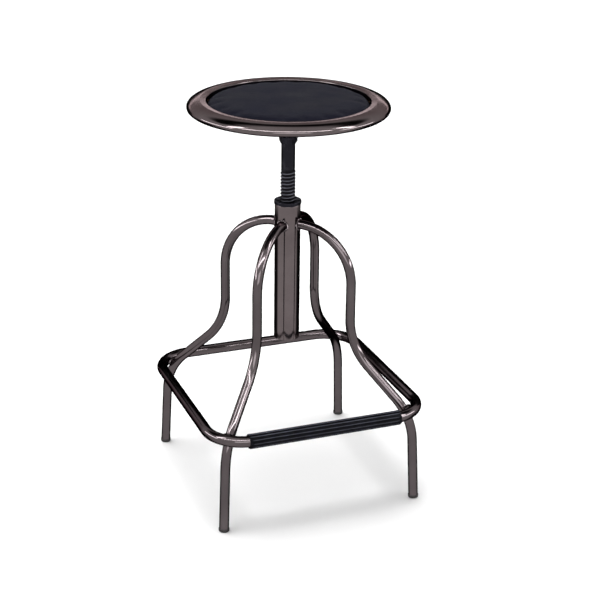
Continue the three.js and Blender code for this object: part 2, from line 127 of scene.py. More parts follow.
def turnOutward(mesh):
    work = bmesh.new()
    work.from_mesh(mesh)
    bmesh.ops.remove_doubles(work, verts=work.verts, dist=1e-6)
    bmesh.ops.recalc_face_normals(work, faces=work.faces)
    work.to_mesh(mesh)
    work.free()


def finishPiece(piece, body, finish, nodes=(), crease=38):
    mesh = piece.data
    mesh.materials.clear()
    mesh.materials.append(finish)
    mesh.shade_smooth()
    mesh.set_sharp_from_angle(angle=math.radians(crease))
    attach(piece, body)
    if nodes:
        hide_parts(*nodes)
    return piece


# Drills round holes of one size through a mesh, standing on Z.
def drilled(piece, centres, radius, low, high):
    cutter = bmesh.new()
    for x, y in centres:
        place = Matrix.Translation((x, y, (low + high) / 2))
        bmesh.ops.create_cone(
            cutter, cap_ends=True, segments=32, radius1=radius, radius2=radius, depth=high - low, matrix=place
        )
    mesh = bpy.data.meshes.new("drill")
    cutter.to_mesh(mesh)
    cutter.free()
    drill = makeObject("drill", mesh)
    cut = piece.modifiers.new("Holes", "BOOLEAN")
    cut.operation = "DIFFERENCE"
    cut.solver = "EXACT"
    cut.object = drill
    made = settled(piece)
    bpy.data.objects.remove(drill)
    return made


def addNode(tree, kind, inputs=None, **settings):
    made = tree.nodes.new(kind)
    for key, value in settings.items():
        setattr(made, key, value)
    for key, value in (inputs or {}).items():
        if isinstance(value, bpy.types.NodeSocket):
            tree.links.new(value, made.inputs[key])
        else:
            made.inputs[key].default_value = value
    return made


def startMaterial(name, **values):
    finish = bpy.data.materials.new(name)
    finish.use_nodes = True
    shader = finish.node_tree.nodes["Principled BSDF"]
    for key, value in values.items():
        shader.inputs[key].default_value = value
    where = addNode(finish.node_tree, "ShaderNodeTexCoord")
    return finish, finish.node_tree, shader, where.outputs["Object"]


def noiseOf(tree, where, scale, detail=4.0, roughness=0.55, stretch=(1, 1, 1)):
    placed = addNode(tree, "ShaderNodeMapping", {"Vector": where, "Scale": stretch})
    made = addNode(
        tree,
        "ShaderNodeTexNoise",
        {"Vector": placed.outputs[0], "Scale": scale, "Detail": detail, "Roughness": roughness},
    )
    return made.outputs["Fac"]


# Maps a value from one range to another, clamped.
def ranged(tree, value, fromLow, fromHigh, toLow, toHigh):
    inputs = {"Value": value, 1: fromLow, 2: fromHigh, 3: toLow, 4: toHigh}
    return addNode(tree, "ShaderNodeMapRange", inputs).outputs[0]


def combined(tree, operation, a, b):
    return addNode(tree, "ShaderNodeMath", {0: a, 1: b}, operation=operation).outputs[0]


def vectorOf(tree, operation, a, b):
    return addNode(tree, "ShaderNodeVectorMath", {0: a, 1: b}, operation=operation).outputs[0]


def mixedColour(tree, share, a, b):
    made = tree.nodes.new("ShaderNodeMix")
    made.data_type = "RGBA"
    tree.links.new(share, made.inputs["Factor"])
    for socket, value in ((made.inputs[6], a), (made.inputs[7], b)):
        if isinstance(value, bpy.types.NodeSocket):
            tree.links.new(value, socket)
        else:
            socket.default_value = (*value, 1)
    return made.outputs[2]


def bumped(tree, shader, height, distance, strength=1.0, base=None):
    inputs = {"Height": height, "Distance": distance, "Strength": strength}
    if base is not None:
        inputs["Normal"] = base
    made = addNode(tree, "ShaderNodeBump", inputs)
    tree.links.new(made.outputs[0], shader.inputs["Normal"])
    return made.outputs[0]


def linkTo(tree, value, shader, name):
    tree.links.new(value, shader.inputs[name])


# Distance from the Z axis and angle round it, from Object coordinates.
def polar(tree, where):
    parts = addNode(tree, "ShaderNodeSeparateXYZ", {0: where}).outputs
    flat = addNode(tree, "ShaderNodeCombineXYZ", {0: parts[0], 1: parts[1]}).outputs[0]
    reach = addNode(tree, "ShaderNodeVectorMath", {0: flat}, operation="LENGTH").outputs["Value"]
    angle = combined(tree, "ARCTAN2", parts[1], parts[0])
    return reach, angle, parts[2]


gunmetalLook = {
    "dark": {"tube": (0.094, 0.081, 0.085), "post": (0.122, 0.103, 0.106), "spun": (0.107, 0.091, 0.094)},
    "light": {"tube": (0.132, 0.115, 0.120), "post": (0.170, 0.145, 0.149), "spun": (0.149, 0.128, 0.131)},
    # how much a glancing view reflects
    "edgeTint": {"tube": (0.10, 0.09, 0.09, 1), "post": (0.60, 0.57, 0.57, 1), "spun": (0.42, 0.39, 0.39, 1)},
    "roughness": (0.07, 0.16),
    "scratchBump": 0.00002,
    "smudgeScale": 14,
}


# Dark plated steel: clouded smudges, faint drawing lines and a few fine scratches.
def gunmetalFinish(kind):
    look = gunmetalLook
    values = {"Metallic": 1.0, "Specular Tint": look["edgeTint"][kind]}
    finish, tree, shader, where = startMaterial("gunmetal_" + kind, **values)
    cloud = noiseOf(tree, where, look["smudgeScale"], 5)
    fine = noiseOf(tree, where, 260, 3)
    tone = ranged(tree, cloud, 0.3, 0.7, 0, 1)
    linkTo(tree, mixedColour(tree, tone, look["dark"][kind], look["light"][kind]), shader, "Base Color")
    if kind == "spun":  # lathe lines run round the axis
        reach, angle, height = polar(tree, where)
        stretched = combined(tree, "MULTIPLY", angle, 0.004)
        around = addNode(tree, "ShaderNodeCombineXYZ", {0: reach, 1: stretched, 2: height}).outputs[0]
        lines = noiseOf(tree, around, 1500, 2)
    else:
        lines = noiseOf(tree, where, 900, 2, stretch=(1, 1, 0.02))
    smooth, rough = look["roughness"]
    cloudShare, fineShare = combined(tree, "MULTIPLY", cloud, 0.7), combined(tree, "MULTIPLY", fine, 0.3)
    patchy = combined(tree, "ADD", cloudShare, fineShare)
    linkTo(tree, ranged(tree, patchy, 0.35, 0.65, smooth, rough), shader, "Roughness")
    first = bumped(tree, shader, lines, look["scratchBump"], 0.35)
    swell = noiseOf(tree, where, 55, 2)
    bumped(tree, shader, swell, 0.00025, 0.12, first)
    return finish


threadSizes = {
    "pitch": 0.00635,
    "crest": 0.0135,
    "root": 0.0119,
    "segments": 96,
    "perPitch": 14,
    "clearance": 0.0002,
}
blackSteelLook = {
    "dark": (0.011, 0.011, 0.016),
    "worn": (0.050, 0.050, 0.062),
    # the thread's groove colour is painted shade, and its crest colour is a painted highlight
    "grooveShade": (0.002, 0.002, 0.003),
    "crestHighlight": (0.13, 0.13, 0.155),
    "gloss": 0.5,
    "edgeTint": (0.5, 0.5, 0.55, 1),
    "roughness": (0.09, 0.18),
}


# Blackened steel: a thin oxide, mottled, a little brighter where it has been handled.
# On the screw, the thread's crests are painted lighter as a painted highlight, and its grooves are painted
# dark as painted shade.
def blackSteelFinish(name, threaded):
    look = blackSteelLook
    values = {"Metallic": 0.6, "Specular Tint": look["edgeTint"], "Specular IOR Level": look["gloss"]}
    finish, tree, shader, where = startMaterial(name, **values)
    mottle = noiseOf(tree, where, 60, 6, 0.6)
    grain = noiseOf(tree, where, 1400, 3)
    worn = ranged(tree, mottle, 0.52, 0.75, 0, 0.6)
    tone = mixedColour(tree, worn, look["dark"], look["worn"])
    if threaded:
        reach = polar(tree, where)[0]
        # painted shade in the thread's grooves, and a painted highlight along its crests
        groove = ranged(tree, reach, threadSizes["root"] + 0.0002, threadSizes["root"] + 0.0006, 1, 0)
        crest = ranged(tree, reach, threadSizes["crest"] - 0.0005, threadSizes["crest"] - 0.0001, 0, 1)
        crest = combined(tree, "MULTIPLY", crest, ranged(tree, mottle, 0.35, 0.65, 0.35, 1))
        tone = mixedColour(tree, groove, tone, look["grooveShade"])
        tone = mixedColour(tree, crest, tone, look["crestHighlight"])
    linkTo(tree, tone, shader, "Base Color")
    linkTo(tree, ranged(tree, mottle, 0.3, 0.7, *look["roughness"]), shader, "Roughness")
    bumped(tree, shader, grain, 0.00002, 0.3)
    return finish


zincLook = {"dark": (0.42, 0.44, 0.45), "light": (0.66, 0.67, 0.66), "roughness": (0.22, 0.42)}


# Zinc plate: a soft crystal bloom.
def zincFinish():
    look = zincLook
    finish, tree, shader, where = startMaterial("zinc_plate", Metallic=1.0)
    cells = addNode(tree, "ShaderNodeTexVoronoi", {"Vector": where, "Scale": 420.0}).outputs["Color"]
    bloom = addNode(tree, "ShaderNodeSeparateColor", {0: cells}).outputs[0]
    linkTo(tree, mixedColour(tree, bloom, look["dark"], look["light"]), shader, "Base Color")
    stain = noiseOf(tree, where, 90, 4)
    linkTo(tree, ranged(tree, stain, 0.3, 0.7, *look["roughness"]), shader, "Roughness")
    bumped(tree, shader, noiseOf(tree, where, 900, 2), 0.00003, 0.4)
    return finish


leatherLook = {
    "dark": (0.0035, 0.0037, 0.0065),
    "light": (0.0090, 0.0092, 0.0180),
    "gloss": 0.018,
    "sheen": 0.022,
    "roughness": (0.48, 0.66),
    "cellSize": 0.0021,
    "wander": 0.0016,
    "grainDepth": 0.00035,
}


# Pebbled leather cloth: cells with soft valleys, finer pores on them, and slow changes of tone.
def leatherFinish():
    look = leatherLook
    values = {"Sheen Weight": look["sheen"], "Sheen Roughness": 0.45, "Specular IOR Level": look["gloss"]}
    finish, tree, shader, where = startMaterial("pebbled_leather", **values)
    wander = addNode(tree, "ShaderNodeTexNoise", {"Vector": where, "Scale": 180.0, "Detail": 3.0})
    shift = vectorOf(tree, "MULTIPLY", wander.outputs["Color"], (look["wander"],) * 3)
    inputs = {"Vector": vectorOf(tree, "ADD", where, shift), "Scale": 1 / look["cellSize"]}
    voronoi = addNode(tree, "ShaderNodeTexVoronoi", inputs, feature="DISTANCE_TO_EDGE")
    cells = voronoi.outputs["Distance"]
    pebble = ranged(tree, cells, 0.0, 0.32, 0, 1)
    pores = noiseOf(tree, where, 2600, 3)
    cloud = noiseOf(tree, where, 11, 5)
    height = combined(tree, "ADD", pebble, combined(tree, "MULTIPLY", pores, 0.35))
    faded, raised = ranged(tree, cloud, 0.3, 0.7, 0.35, 1), ranged(tree, pebble, 0, 1, 0.4, 1)
    tone = combined(tree, "MULTIPLY", faded, raised)
    linkTo(tree, mixedColour(tree, tone, look["dark"], look["light"]), shader, "Base Color")
    linkTo(tree, ranged(tree, cloud, 0.3, 0.7, *look["roughness"]), shader, "Roughness")
    bumped(tree, shader, height, look["grainDepth"], 0.7)
    return finish


rubberLook = {
    "dark": (0.003, 0.003, 0.005),
    "dusty": (0.006, 0.007, 0.011),
    # the crest colour: partly scuffs, partly a painted highlight along the ribs
    "scuffed": (0.105, 0.110, 0.135),
    "gloss": 0.05,
    "roughness": (0.14, 0.26),
}


# Moulded rubber on the ring's front rail: fine pitting, and ribs lighter blue-grey along their crests, partly
# scuffs and partly a painted highlight.
def rubberFinish():
    look = rubberLook
    finish, tree, shader, where = startMaterial("moulded_rubber", **{"Specular IOR Level": look["gloss"]})
    scuff = noiseOf(tree, where, 30, 6, 0.65)
    low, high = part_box("foot_tread")
    middle, depth = (low + high) / 2, (high.z - low.z) / 2
    fromAxis = vectorOf(tree, "SUBTRACT", where, tuple(middle))
    across = vectorOf(tree, "MULTIPLY", fromAxis, (0, 1, 1))
    reach = addNode(tree, "ShaderNodeVectorMath", {0: across}, operation="LENGTH").outputs["Value"]
    # the ribs' crests are painted lighter: partly scuffs, partly a painted highlight along the crests
    crest = ranged(tree, reach, depth - 0.0006, depth - 0.0001, 0, 1)
    marks = combined(tree, "MULTIPLY", crest, ranged(tree, scuff, 0.25, 0.6, 0.45, 1))
    tone = mixedColour(tree, ranged(tree, scuff, 0.42, 0.72, 0, 1), look["dark"], look["dusty"])
    linkTo(tree, mixedColour(tree, marks, tone, look["scuffed"]), shader, "Base Color")
    linkTo(tree, ranged(tree, scuff, 0.3, 0.7, *look["roughness"]), shader, "Roughness")
    bumped(tree, shader, noiseOf(tree, where, 2100, 4), 0.00003, 0.4)
    return finish


plasticLooks = {
    "glide_plastic": {
        "dark": (0.008, 0.008, 0.009),
        "scuffed": (0.045, 0.043, 0.041),
        "roughness": (0.36, 0.55),
        "scuffTop": 0.012,
    },
    "bush_nylon": {
        "dark": (0.66, 0.64, 0.58),
        "scuffed": (0.50, 0.47, 0.40),
        "roughness": (0.38, 0.55),
        "scuffTop": 0.9,
    },
}


# Moulded plastic, with spark-eroded grain, and scuffs that thin out towards a height.
def plasticFinish(name):
    look = plasticLooks[name]
    finish, tree, shader, where = startMaterial(name)
    height = polar(tree, where)[2]
    near = ranged(tree, height, 0, look["scuffTop"], 1, 0.15)
    marks = ranged(tree, noiseOf(tree, where, 240, 6, 0.7, (1, 1, 0.4)), 0.45, 0.7, 0, 1)
    worn = combined(tree, "MULTIPLY", near, marks)
    linkTo(tree, mixedColour(tree, worn, look["dark"], look["scuffed"]), shader, "Base Color")
    linkTo(tree, ranged(tree, marks, 0, 1, *look["roughness"]), shader, "Roughness")
    bumped(tree, shader, noiseOf(tree, where, 2400, 3), 0.00005, 0.5)
    return finish


plywoodLook = {"dark": (0.33, 0.19, 0.09), "light": (0.62, 0.44, 0.26)}


# Birch plywood: long grain on the faces, thin plies at the edge.
def plywoodFinish():
    finish, tree, shader, where = startMaterial("birch_plywood", Roughness=0.62)
    grain = noiseOf(tree, where, 60, 7, 0.65, (0.06, 1, 1))
    inputs = {"Vector": where, "Scale": 105.0, "Distortion": 0.4}
    ply = addNode(tree, "ShaderNodeTexWave", inputs, bands_direction="Z").outputs["Fac"]
    lined, layered = ranged(tree, grain, 0.3, 0.7, 0.3, 1), ranged(tree, ply, 0, 1, 0.7, 1)
    tone = combined(tree, "MULTIPLY", lined, layered)
    linkTo(tree, mixedColour(tree, tone, plywoodLook["dark"], plywoodLook["light"]), shader, "Base Color")
    bumped(tree, shader, grain, 0.0002, 0.5)
    return finish


finishes = {
    "tube": gunmetalFinish("tube"),
    "post": gunmetalFinish("post"),
    "spun": gunmetalFinish("spun"),
    "blackSteel": blackSteelFinish("blackened_steel", False),
    "threadSteel": blackSteelFinish("blackened_thread", True),
    "zinc": zincFinish(),
    "leather": leatherFinish(),
    "rubber": rubberFinish(),
    "glide": plasticFinish("glide_plastic"),
    "nylon": plasticFinish("bush_nylon"),
    "plywood": plywoodFinish(),
}
print("finishes made:", len(finishes))


# The ring's corner stands as far out as the leg needs, so its half width comes from the frame.
legSizes = {
    "radius": 0.00875,
    "exitHeight": 0.495,
    "archRadius": 0.100,
    "uprightReach": 0.1254,
    "uprightBottom": 0.330,
    "flareRadius": 0.119,
    "flareAngle": math.radians(46.6),
    "footRadius": 0.114,
    "footSplay": math.radians(3.3),
    "startReach": 0.0212,
    "soleGap": 0.0058,
    "step": 0.004,
    "sides": 40,
}
ringSizes = {"radius": 0.010, "cornerRadius": 0.066, "cornerStep": 2.5, "railPoints": 40, "sides": 44}
postLow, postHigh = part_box("post_tube")
ringLow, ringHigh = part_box("foot_ring")
ringHalf = (ringHigh.x - ringLow.x) / 2 - ringSizes["radius"]
ringHeight = (ringLow.z + ringHigh.z) / 2
footPlace = Vector(frame["record"]["mounts"][0]["pos_m"])
footReach = footPlace.xy.length


def lineTo(points, end, step):
    start = np.array(points[-1])
    count = max(2, int(round(np.linalg.norm(np.array(end) - start) / step)))
    points.extend([tuple(start + (np.array(end) - start) * i / count) for i in range(1, count + 1)])


# The leg's centre line as (reach, height) pairs, from inside the post's wall down to the glide.
def legLine():
    s = legSizes
    flare, splay = s["flareAngle"], s["footSplay"]
    archReach = s["uprightReach"] - s["archRadius"]
    flareCentre = s["uprightReach"] + s["flareRadius"]
    flareEnd = (
        flareCentre - s["flareRadius"] * math.cos(flare),
        s["uprightBottom"] - s["flareRadius"] * math.sin(flare),
    )
    bendX = s["footRadius"] * (math.cos(splay) - math.cos(flare))
    bendZ = s["footRadius"] * (math.sin(flare) - math.sin(splay))
    spread = footReach - flareEnd[0] - bendX - (flareEnd[1] - bendZ) * math.tan(splay)
    slant = spread / (math.sin(flare) - math.cos(flare) * math.tan(splay))
    slantEnd = (flareEnd[0] + slant * math.sin(flare), flareEnd[1] - slant * math.cos(flare))
    bendCentre = (
        slantEnd[0] - s["footRadius"] * math.cos(flare),
        slantEnd[1] - s["footRadius"] * math.sin(flare),
    )
    sole = (footReach - s["soleGap"] * math.sin(splay), s["soleGap"] * math.cos(splay))
    archCentre = (archReach, s["exitHeight"] - s["archRadius"])

    def bend(points, centre, radius, start, end):
        steps = max(6, int(abs(end - start) * radius / s["step"]))
        points.extend(arcPoints(centre, radius, radius, math.degrees(start), math.degrees(end), steps)[1:])

    points = [(s["startReach"], s["exitHeight"])]
    lineTo(points, (archReach, s["exitHeight"]), s["step"])
    bend(points, archCentre, s["archRadius"], math.pi / 2, 0)
    lineTo(points, (s["uprightReach"], s["uprightBottom"]), s["step"])
    bend(points, (flareCentre, s["uprightBottom"]), s["flareRadius"], math.pi, math.pi + flare)
    lineTo(points, slantEnd, s["step"])
    bend(points, bendCentre, s["footRadius"], flare, splay)
    lineTo(points, sole, s["step"])
    return points


# The ring's closed centre line, counter-clockwise from the middle of the back rail.
def ringLine():
    radius = ringSizes["cornerRadius"]
    rail = ringHalf - radius
    points = []
    for side in range(4):
        turn = Matrix.Rotation(math.radians(90 * side), 3, "Z")
        count = ringSizes["railPoints"]
        local = [(rail - 2 * rail * i / count, ringHalf) for i in range(count)]
        steps = int(90 / ringSizes["cornerStep"])
        local += arcPoints((-rail, rail), radius, radius, 90, 180, steps)[:-1]
        points += [turn @ Vector((x, y, ringHeight)) for x, y in local]
    return points


def startTree(name, sockets):
    tree = bpy.data.node_groups.new(name, "GeometryNodeTree")
    tree.interface.new_socket("Geometry", in_out="INPUT", socket_type="NodeSocketGeometry")
    keys = {}
    for label, kind in sockets.items():
        keys[label] = tree.interface.new_socket(label, in_out="INPUT", socket_type=kind).identifier
    tree.interface.new_socket("Geometry", in_out="OUTPUT", socket_type="NodeSocketGeometry")
    start = tree.nodes.new("NodeGroupInput")
    return tree, keys, start.outputs


def endTree(tree, geometry, material):
    real = addNode(tree, "GeometryNodeRealizeInstances", {"Geometry": geometry})
    painted = addNode(tree, "GeometryNodeSetMaterial", {"Geometry": real.outputs[0], "Material": material})
    end = tree.nodes.new("NodeGroupOutput")
    tree.links.new(painted.outputs[0], end.inputs[0])


def grown(name, points, closed, tree, keys, values):
    mesh = bpy.data.meshes.new(name)
    edges = [(i, i + 1) for i in range(len(points) - 1)]
    if closed:
        edges.append((len(points) - 1, 0))
    mesh.from_pydata([tuple(p) for p in points], edges, [])
    carrier = makeObject(name, mesh)
    grow = carrier.modifiers.new("Grow", "NODES")
    grow.node_group = tree
    for label, value in values.items():
        grow[keys[label]] = value
    return settled(carrier)


# A round tube along a line of points.
def tubeTree():
    sockets = {
        "Tube Radius": "NodeSocketFloat",
        "Sides": "NodeSocketInt",
        "Caps": "NodeSocketBool",
        "Material": "NodeSocketMaterial",
    }
    tree, keys, given = startTree("TubeAlongLine", sockets)
    line = addNode(tree, "GeometryNodeMeshToCurve", {"Mesh": given["Geometry"]})
    circle = {"Resolution": given["Sides"], "Radius": given["Tube Radius"]}
    section = addNode(tree, "GeometryNodeCurvePrimitiveCircle", circle)
    swept = addNode(
        tree,
        "GeometryNodeCurveToMesh",
        {"Curve": line.outputs[0], "Profile Curve": section.outputs[0], "Fill Caps": given["Caps"]},
    )
    endTree(tree, swept.outputs[0], given["Material"])
    return tree, keys


# A ribbed sleeve along a line: the section's radius rises in rounded, flat-topped ribs.
def ribTree():
    sockets = {
        "Inner Radius": "NodeSocketFloat",
        "Wall": "NodeSocketFloat",
        "Rib Height": "NodeSocketFloat",
        "Ribs": "NodeSocketInt",
        "Sides": "NodeSocketInt",
        "Material": "NodeSocketMaterial",
    }
    tree, keys, given = startTree("RibbedSleeve", sockets)
    line = addNode(tree, "GeometryNodeMeshToCurve", {"Mesh": given["Geometry"]})

    def section(radius):
        circle = {"Resolution": given["Sides"], "Radius": radius}
        return addNode(tree, "GeometryNodeCurvePrimitiveCircle", circle)

    inner = section(given["Inner Radius"])
    valley = combined(tree, "ADD", given["Inner Radius"], given["Wall"])
    plain = section(valley)
    spot = addNode(tree, "GeometryNodeInputPosition").outputs[0]
    parts = addNode(tree, "ShaderNodeSeparateXYZ", {0: spot}).outputs
    angle = combined(tree, "ARCTAN2", parts[1], parts[0])
    wave = combined(tree, "COSINE", combined(tree, "MULTIPLY", angle, given["Ribs"]), 0.0)
    lift = addNode(
        tree,
        "ShaderNodeMapRange",
        {"Value": wave, 1: -0.4, 2: 1.0, 3: 0.0, 4: 1.0},
        interpolation_type="SMOOTHSTEP",
    ).outputs[0]
    height = combined(tree, "MULTIPLY", lift, given["Rib Height"])
    growth = combined(tree, "DIVIDE", combined(tree, "ADD", valley, height), valley)
    placed = addNode(tree, "ShaderNodeVectorMath", {0: spot, "Scale": growth}, operation="SCALE").outputs[0]
    ribbed = addNode(tree, "GeometryNodeSetPosition", {"Geometry": plain.outputs[0], "Position": placed})

    def sweep(profile):
        lines = {"Curve": line.outputs[0], "Profile Curve": profile}
        return addNode(tree, "GeometryNodeCurveToMesh", lines).outputs[0]

    outside = sweep(ribbed.outputs[0])
    inside = addNode(tree, "GeometryNodeFlipFaces", {"Mesh": sweep(inner.outputs[0])}).outputs[0]
    joined = addNode(tree, "GeometryNodeJoinGeometry")
    tree.links.new(outside, joined.inputs[0])
    tree.links.new(inside, joined.inputs[0])
    endTree(tree, joined.outputs[0], given["Material"])
    return tree, keys


# Copies of one part, set on each point of the carrier and turned to face out from the Z axis.
def aroundTree():
    sockets = {"Part": "NodeSocketObject", "Material": "NodeSocketMaterial"}
    tree, keys, given = startTree("PartsAroundAxis", sockets)
    part = addNode(tree, "GeometryNodeObjectInfo", {"Object": given["Part"]}, transform_space="ORIGINAL")
    spot = addNode(tree, "GeometryNodeInputPosition").outputs[0]
    parts = addNode(tree, "ShaderNodeSeparateXYZ", {0: spot}).outputs
    angle = combined(tree, "ARCTAN2", parts[1], parts[0])
    turn = addNode(tree, "ShaderNodeCombineXYZ", {2: angle}).outputs[0]
    dots = addNode(tree, "GeometryNodeMeshToPoints", {"Mesh": given["Geometry"]})
    copies = addNode(
        tree,
        "GeometryNodeInstanceOnPoints",
        {"Points": dots.outputs[0], "Instance": part.outputs["Geometry"], "Rotation": turn},
    )
    endTree(tree, copies.outputs[0], given["Material"])
    return tree, keys


tubes, tubeKeys = tubeTree()
sleeves, sleeveKeys = ribTree()
rounds, roundKeys = aroundTree()


def setAround(name, part, points, finish):
    made = grown(name, points, False, rounds, roundKeys, {"Part": part, "Material": finish})
    bpy.data.objects.remove(part)
    return made


def makeLegs():
    line = legLine()
    for place, degrees in corners.items():
        turn = Matrix.Rotation(math.radians(degrees), 3, "Z")
        points = [turn @ Vector((reach, 0, height)) for reach, height in line]
        values = {
            "Tube Radius": legSizes["radius"],
            "Sides": legSizes["sides"],
            "Caps": True,
            "Material": finishes["tube"],
        }
        leg = grown("leg_" + place + "_finished", points, False, tubes, tubeKeys, values)
        turnOutward(leg.data)
        finishPiece(leg, "base", finishes["tube"], ["leg_" + place])


def makeRing():
    values = {
        "Tube Radius": ringSizes["radius"],
        "Sides": ringSizes["sides"],
        "Caps": False,
        "Material": finishes["tube"],
    }
    ring = grown("foot_ring_finished", ringLine(), True, tubes, tubeKeys, values)
    turnOutward(ring.data)
    finishPiece(ring, "base", finishes["tube"], ["foot_ring"])


treadSizes = {"gap": 0.0005, "wall": 0.0015, "ribHeight": 0.0012, "ribs": 12, "sides": 192}


# The sleeve on the front rail. Its two open ends are closed by bridging the ribbed edge to the round one.
def makeTread():
    low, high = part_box("foot_tread")
    points = [p for p in ringLine() if p.y < 0 and low.x <= p.x <= high.x]
    points.sort(key=lambda p: p.x)
    points.insert(0, Vector((low.x, points[0].y, ringHeight)))
    points.append(Vector((high.x, points[-1].y, ringHeight)))
    values = {
        "Inner Radius": ringSizes["radius"] + treadSizes["gap"],
        "Wall": treadSizes["wall"],
        "Rib Height": treadSizes["ribHeight"],
        "Ribs": treadSizes["ribs"],
        "Sides": treadSizes["sides"],
        "Material": finishes["rubber"],
    }
    tread = grown("foot_tread_finished", points, False, sleeves, sleeveKeys, values)
    work = bmesh.new()
    work.from_mesh(tread.data)
    for end in (-1, 1):
        rim = [e for e in work.edges if e.is_boundary and e.verts[0].co.x * end > 0]
        bmesh.ops.bridge_loops(work, edges=rim)
    bmesh.ops.recalc_face_normals(work, faces=work.faces)
    work.to_mesh(tread.data)
    work.free()
    finishPiece(tread, "base", finishes["rubber"], ["foot_tread"], 60)


glideSizes = {
    "radius": 0.0095,
    "head": 0.0055,
    "rounding": 0.0018,
    "crown": 0.0006,
    "stem": 0.0064,
    "stemTop": 0.0195,
    "stemRound": 0.001,
    "flatBelow": 0.0004,
}


# A moulded plug: a rounded head on the floor and a stem up inside the tube.
def makeGlides():
    s = glideSizes
    splay = legSizes["footSplay"]
    inset, crown, stem, top = s["radius"] - s["rounding"], s["crown"], s["stem"], s["stemTop"]
    profile = [(0, 0.0), (inset, 0.0)]
    profile += arcPoints((inset, s["rounding"]), s["rounding"], s["rounding"], -90, 0, 6)[1:]
    profile += arcPoints((s["radius"] - crown, s["head"] - crown), crown, crown, 0, 90, 4)
    profile += [(stem, s["head"]), (stem, top - s["stemRound"]), (stem - s["stemRound"], top), (0, top)]
    for place, degrees in corners.items():
        mesh = turned("glide_" + place, profile, 48)
        turn = Matrix.Rotation(math.radians(degrees), 4, "Z")
        mesh.transform(turn @ Matrix.Translation((footReach, 0, 0)) @ Matrix.Rotation(-splay, 4, "Y"))
        for v in mesh.vertices:  # the sole is flat on the floor
            if v.co.z <= s["flatBelow"]:
                v.co.z = 0
        glide = makeObject("glide_" + place + "_finished", mesh)
        finishPiece(glide, "base", finishes["glide"], ["glide_" + place])


postSizes = {"wall": 0.003, "edge": 0.0007}


def makePost():
    outer = postHigh.x
    inner, edge = outer - postSizes["wall"], postSizes["edge"]
    low, high = postLow.z, postHigh.z
    profile = [(inner, low + edge), (inner + edge, low), (outer - edge, low)]
    profile += arcPoints((outer - edge, low + edge), edge, edge, -90, 0, 4)[1:]
    profile += [(outer, low + (high - low) * i / 12) for i in range(1, 12)]
    profile += arcPoints((outer - edge, high - edge), edge, edge, 0, 90, 4)
    profile += [(inner + edge, high), (inner, high - edge)]
    post = makeObject("post_tube_finished", turned("post_tube_finished", profile, 128, True))
    finishPiece(post, "base", finishes["post"], ["post_tube"])


plugSizes = {"wall": 0.002, "round": 0.0008}


def makePlug():
    low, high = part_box("post_plug")
    outer = high.x
    inner = outer - plugSizes["wall"]
    roof = high.z - plugSizes["wall"]
    soft = plugSizes["round"]
    profile = [(0, roof), (inner - soft, roof), (inner, roof - soft), (inner, low.z + soft / 2)]
    profile += arcPoints(((inner + outer) / 2, low.z + soft), (outer - inner) / 2, soft, 180, 360, 8)
    profile += [(outer, high.z - soft), (outer - soft, high.z), (0, high.z)]
    plug = makeObject("post_plug_finished", turned("post_plug_finished", profile, 96))
    finishPiece(plug, "base", finishes["glide"], ["post_plug"])


weldSizes = {
    "bead": 0.0017,
    "ripple": 0.00022,
    "ripples": 46,
    "steps": 184,
    "sides": 14,
    "saddleGrow": 0.0009,
    "lean": 0.55,  # how far the bead leans from the post towards the leg
}


# Weld beads where the legs meet the post: a rippled roll along the line where the two round tubes cross.
def makePostWelds():
    s = weldSizes
    postRadius = postHigh.x
    around = legSizes["radius"] + s["saddleGrow"]
    rings = []
    for i in range(s["steps"]):
        turn = 2 * math.pi * i / s["steps"]
        side, rise = around * math.cos(turn), around * math.sin(turn)
        centre = Vector((math.sqrt(postRadius**2 - side**2), side, legSizes["exitHeight"] + rise))
        offPost = Vector((centre.x, centre.y, 0)).normalized()
        offLeg = Vector((0, math.cos(turn), math.sin(turn)))
        out = (offPost * (1 - s["lean"]) + offLeg * s["lean"]).normalized()
        along = Vector((0, -math.sin(turn), math.cos(turn)))
        across = along.cross(out).normalized()
        bead = s["bead"] + s["ripple"] * math.sin(turn * s["ripples"])
        ring = []
        for k in range(s["sides"]):
            spin = 2 * math.pi * k / s["sides"]
            ring.append(centre + (out * math.cos(spin) + across * math.sin(spin)) * bead)
        rings.append(ring)
    part = makeObject("weld_part", ringMesh("weld_part", rings, True))
    turnOutward(part.data)
    for v in part.data.vertices:
        v.co.x -= postRadius
    points = [Matrix.Rotation(math.radians(d), 3, "Z") @ Vector((postRadius, 0, 0)) for d in corners.values()]
    welds = setAround("post_welds", part, points, finishes["tube"])
    finishPiece(welds, "base", finishes["tube"])


# Where the leg's centre line passes a height: its reach and slope there.
def legAt(height):
    line = legLine()
    for (r0, z0), (r1, z1) in zip(line, line[1:]):
        if z1 <= height <= z0 and z0 > z1 and z0 < legSizes["uprightBottom"]:
            share = (z0 - height) / (z0 - z1)
            return r0 + (r1 - r0) * share, math.atan2(r1 - r0, z0 - z1)
    raise ValueError("the leg doesn't pass that height")


ringWeldSizes = {"width": 0.0125, "height": 0.0075, "depth": 0.0042, "rows": 22, "columns": 36}


